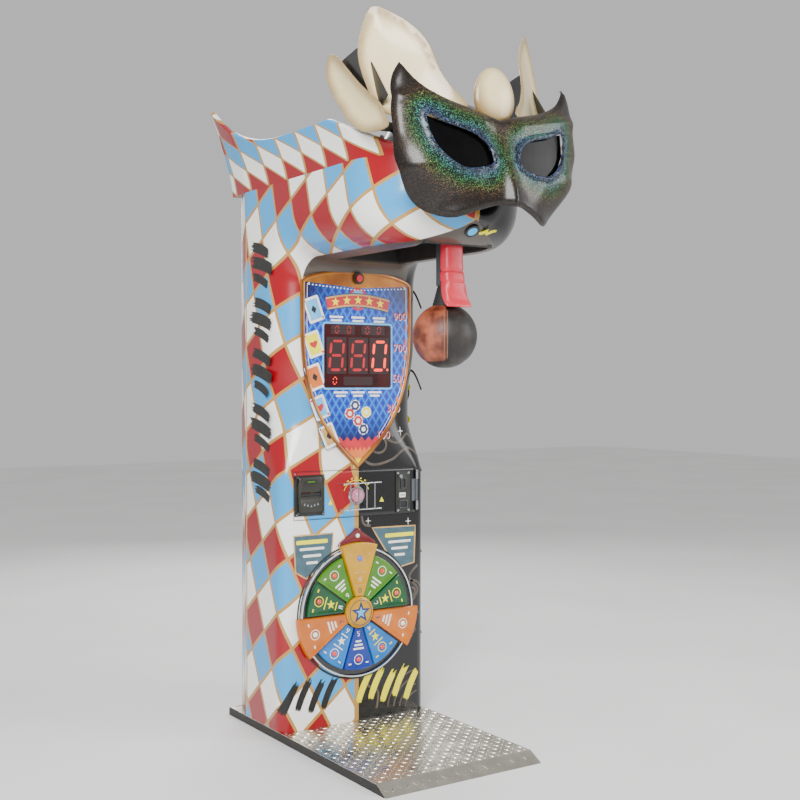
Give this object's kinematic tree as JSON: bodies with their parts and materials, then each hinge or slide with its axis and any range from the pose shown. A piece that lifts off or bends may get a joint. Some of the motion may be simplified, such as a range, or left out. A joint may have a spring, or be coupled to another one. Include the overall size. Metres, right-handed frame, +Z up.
{
  "type": "boxing punch machine",
  "caption": "Free-standing boxing punch machine: column with a hanging ball under a long arm, score shield, coin door and lit prize wheel on a platform.",
  "frame": {"origin": "on the floor, under the middle of the platform", "axes": "+X to the player's right, +Y to the back, +Z up; the player stands on the -Y side"},
  "size_m": [0.7686, 1.3119, 2.3468],
  "materials": {
    "board": "black textured enamel",
    "tread": "rolled bright tread plate",
    "harlequin": "printed gloss gelcoat, red, blue and white diamonds with gold lines",
    "frame_steel": "grey primer",
    "liner": "black moulded sheet",
    "door_black": "black powder coat",
    "zinc": "zinc plated",
    "mask_gloss": "black gloss with fine glitter",
    "eye_black": "black gloss lens",
    "core_black": "satin black",
    "petal": "cream satin lacquer on moulded shell",
    "shaft": "ground bar",
    "bearing": "painted casting",
    "lever": "black enamel",
    "rubber": "moulded",
    "ball_leather": "padded leather panels",
    "cover_vinyl": "padded red vinyl",
    "sensor": "circuit board",
    "coil": "varnished coil",
    "bezel_black": "moulded black",
    "start_blue": "lit blue lens",
    "reset_red": "lit red lens",
    "gold_trim": "gold lacquer",
    "shield_print": "printed polycarbonate",
    "pcb": "solder mask",
    "door_print": "printed gloss sheet",
    "module_black": "textured black",
    "coin_steel": "plated sheet",
    "screw": "bright",
    "dome": "clear dome",
    "chrome_wire": "chromed wire",
    "box_steel": "grey enamel",
    "lens_green": "lit lens",
    "lens_blue": "lit lens",
    "lens_orange": "lit lens",
    "lens_yellow": "lit lens",
    "lamp": "lamp caps",
    "psu": "folded sheet"
  },
  "bodies": {
    "cabinet": {"base_board": "board", "tread_plate": "tread", "cabinet_shell": "harlequin", "column_frame": "frame_steel", "arm_frame": "frame_steel", "crown": "harlequin", "arm_liner": "liner", "rear_hinges": "zinc", "mask": "mask_gloss", "eye_lenses": "eye_black", "head_core": "core_black", "side_petals": "petal", "rear_petals": "petal", "centre_petal": "petal", "head_bracket": "frame_steel", "bearing_blocks": "bearing", "stop_buffers": "rubber", "speed_sensor": "sensor", "latch_bracket": "zinc", "latch_solenoid": "coil", "start_bezel": "bezel_black", "shield_frame": "gold_trim", "shield_panel": "shield_print", "display_board": "pcb", "reset_bezel": "bezel_black", "door_hinge": "zinc", "cash_box": "box_steel", "wheel_tray": "bezel_black", "wheel_rim": "chrome_wire", "green_lenses": "lens_green", "blue_lenses": "lens_blue", "orange_lenses": "lens_orange", "yellow_lens": "lens_yellow", "wheel_hub": "lens_yellow", "wheel_lamps": "lamp", "control_board": "pcb", "power_supply": "psu", "mains_inlet": "bezel_black"},
    "swing_arm": {"pivot_shaft": "shaft", "swing_lever": "lever", "ball_neck": "rubber", "striking_ball": "ball_leather", "lever_cover": "cover_vinyl", "speed_disc": "zinc", "latch_cam": "zinc"},
    "coin_door": {"coin_door": "door_print", "note_bezel": "module_black", "note_reader": "module_black", "coin_plate": "module_black", "coin_selector": "coin_steel", "door_screws": "screw", "lamp_dome": "dome", "lamp_guard": "chrome_wire"},
    "coin_return": {"coin_return_button": "screw"},
    "start_button": {"start_cap": "start_blue"},
    "reset_button": {"reset_cap": "reset_red"},
    "service_door": {"rear_door": "door_black"},
    "service_lock": {"rear_lock": "zinc"},
    "latch": {"latch_hook": "zinc"},
    "plunger": {"solenoid_plunger": "shaft"}
  },
  "joints": [
    {"name": "ball_swing", "type": "hinge", "parent": "cabinet", "child": "swing_arm", "pos_m": [0, -0.414, 1.712], "axis": [1, 0, 0], "range_deg": [0, 90]},
    {"name": "latch_lift", "type": "hinge", "parent": "cabinet", "child": "latch", "pos_m": [0, -0.344, 1.774], "axis": [-1, 0, 0], "range_deg": [0, 8], "stiffness_Nm_per_rad": 0.5, "springref_deg": -11.46},
    {"name": "plunger_travel", "type": "slide", "parent": "cabinet", "child": "plunger", "axis": [0, 0, -1], "range_m": [0, 0.004]},
    {"name": "start_press", "type": "slide", "parent": "cabinet", "child": "start_button", "axis": [0, 0.6157, 0.788], "range_m": [0, 0.003], "stiffness_N_per_m": 400, "springref_m": -0.002},
    {"name": "reset_press", "type": "slide", "parent": "cabinet", "child": "reset_button", "axis": [0, 1, 0], "range_m": [0, 0.003], "stiffness_N_per_m": 400, "springref_m": -0.002},
    {"name": "coin_door_hinge", "type": "hinge", "parent": "cabinet", "child": "coin_door", "pos_m": [0.2545, 0.1175, 0.836], "axis": [0, 0, 1], "range_deg": [0, 100]},
    {"name": "coin_return_press", "type": "slide", "parent": "coin_door", "child": "coin_return", "axis": [0, 1, 0], "range_m": [0, 0.004], "stiffness_N_per_m": 300, "springref_m": -0.002},
    {"name": "service_door_hinge", "type": "hinge", "parent": "cabinet", "child": "service_door", "pos_m": [0.176, 0.527, 0.7], "axis": [0, 0, 1], "range_deg": [-110, 0]},
    {"name": "service_lock_turn", "type": "hinge", "parent": "service_door", "child": "service_lock", "pos_m": [-0.14, 0.52, 0.7], "axis": [0, 1, 0], "range_deg": [-90, 0]}
  ],
  "couplings": [
    {"joint": "plunger_travel", "follows": "latch_lift", "m_per_rad": 0.0275}
  ]
}
